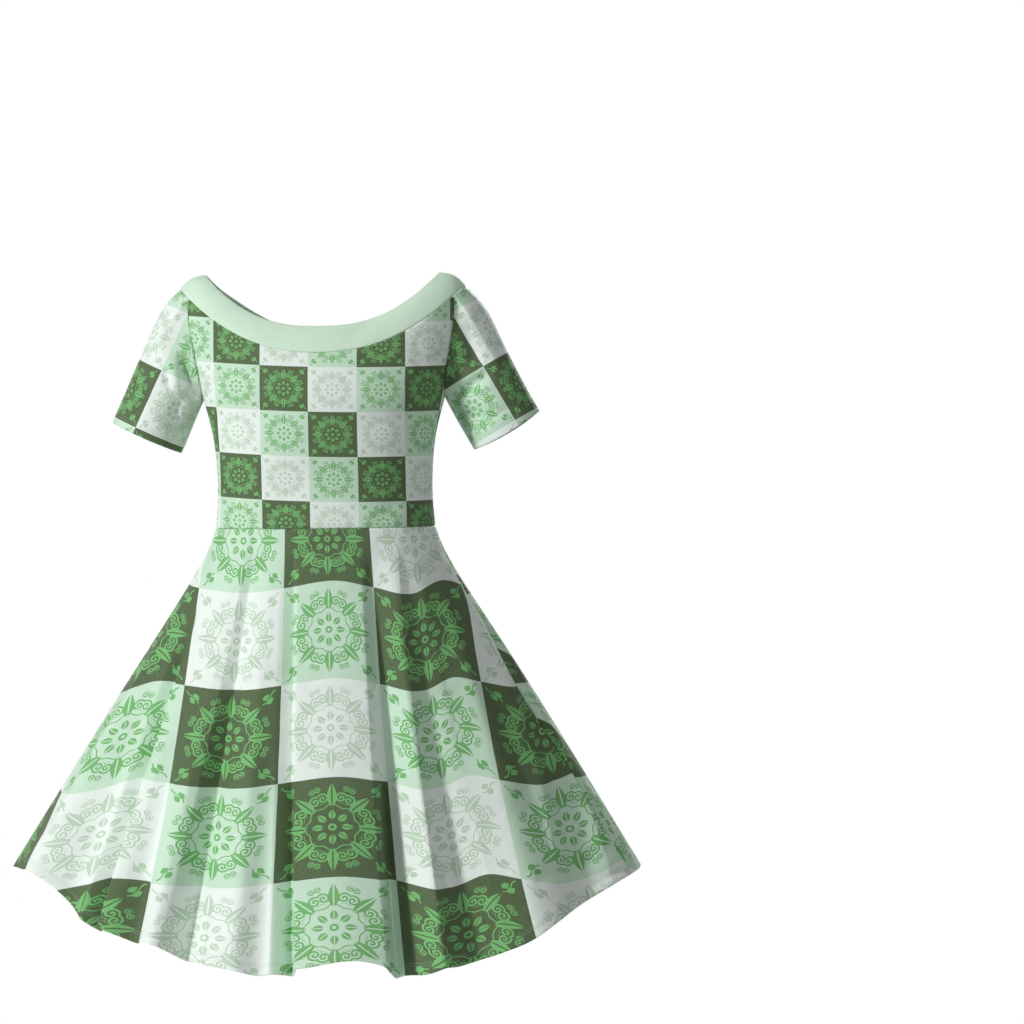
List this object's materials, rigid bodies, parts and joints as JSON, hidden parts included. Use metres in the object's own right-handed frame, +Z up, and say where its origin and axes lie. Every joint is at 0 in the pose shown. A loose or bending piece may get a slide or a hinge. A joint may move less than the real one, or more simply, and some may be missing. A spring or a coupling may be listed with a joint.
{
  "type": "fit-and-flare dress",
  "caption": "Knee-length fit-and-flare dress, short set-in sleeves, wide boat neck with a plain band, hollow and filled out as if worn; knit cloth with a three-tone check print.",
  "frame": {"origin": "midway between the tops of the shoulders, at the height where the neckband rests on the wearer", "axes": "+Z up from hem to shoulders, the front faces -Y, the wearer's left is +X"},
  "size_m": [0.7847, 0.509, 0.8581],
  "materials": {
    "plain_knit": "matte mint green knit",
    "printed_knit": "matte knit printed with dark olive, pale and mint green squares"
  },
  "bodies": {
    "root": {"neckband_front": "plain_knit", "neckband_back": "plain_knit", "bodice_front": "printed_knit", "bodice_back": "printed_knit", "sleeve_left": "printed_knit", "sleeve_right": "printed_knit", "skirt_front": "printed_knit", "skirt_back": "printed_knit"}
  },
  "joints": []
}
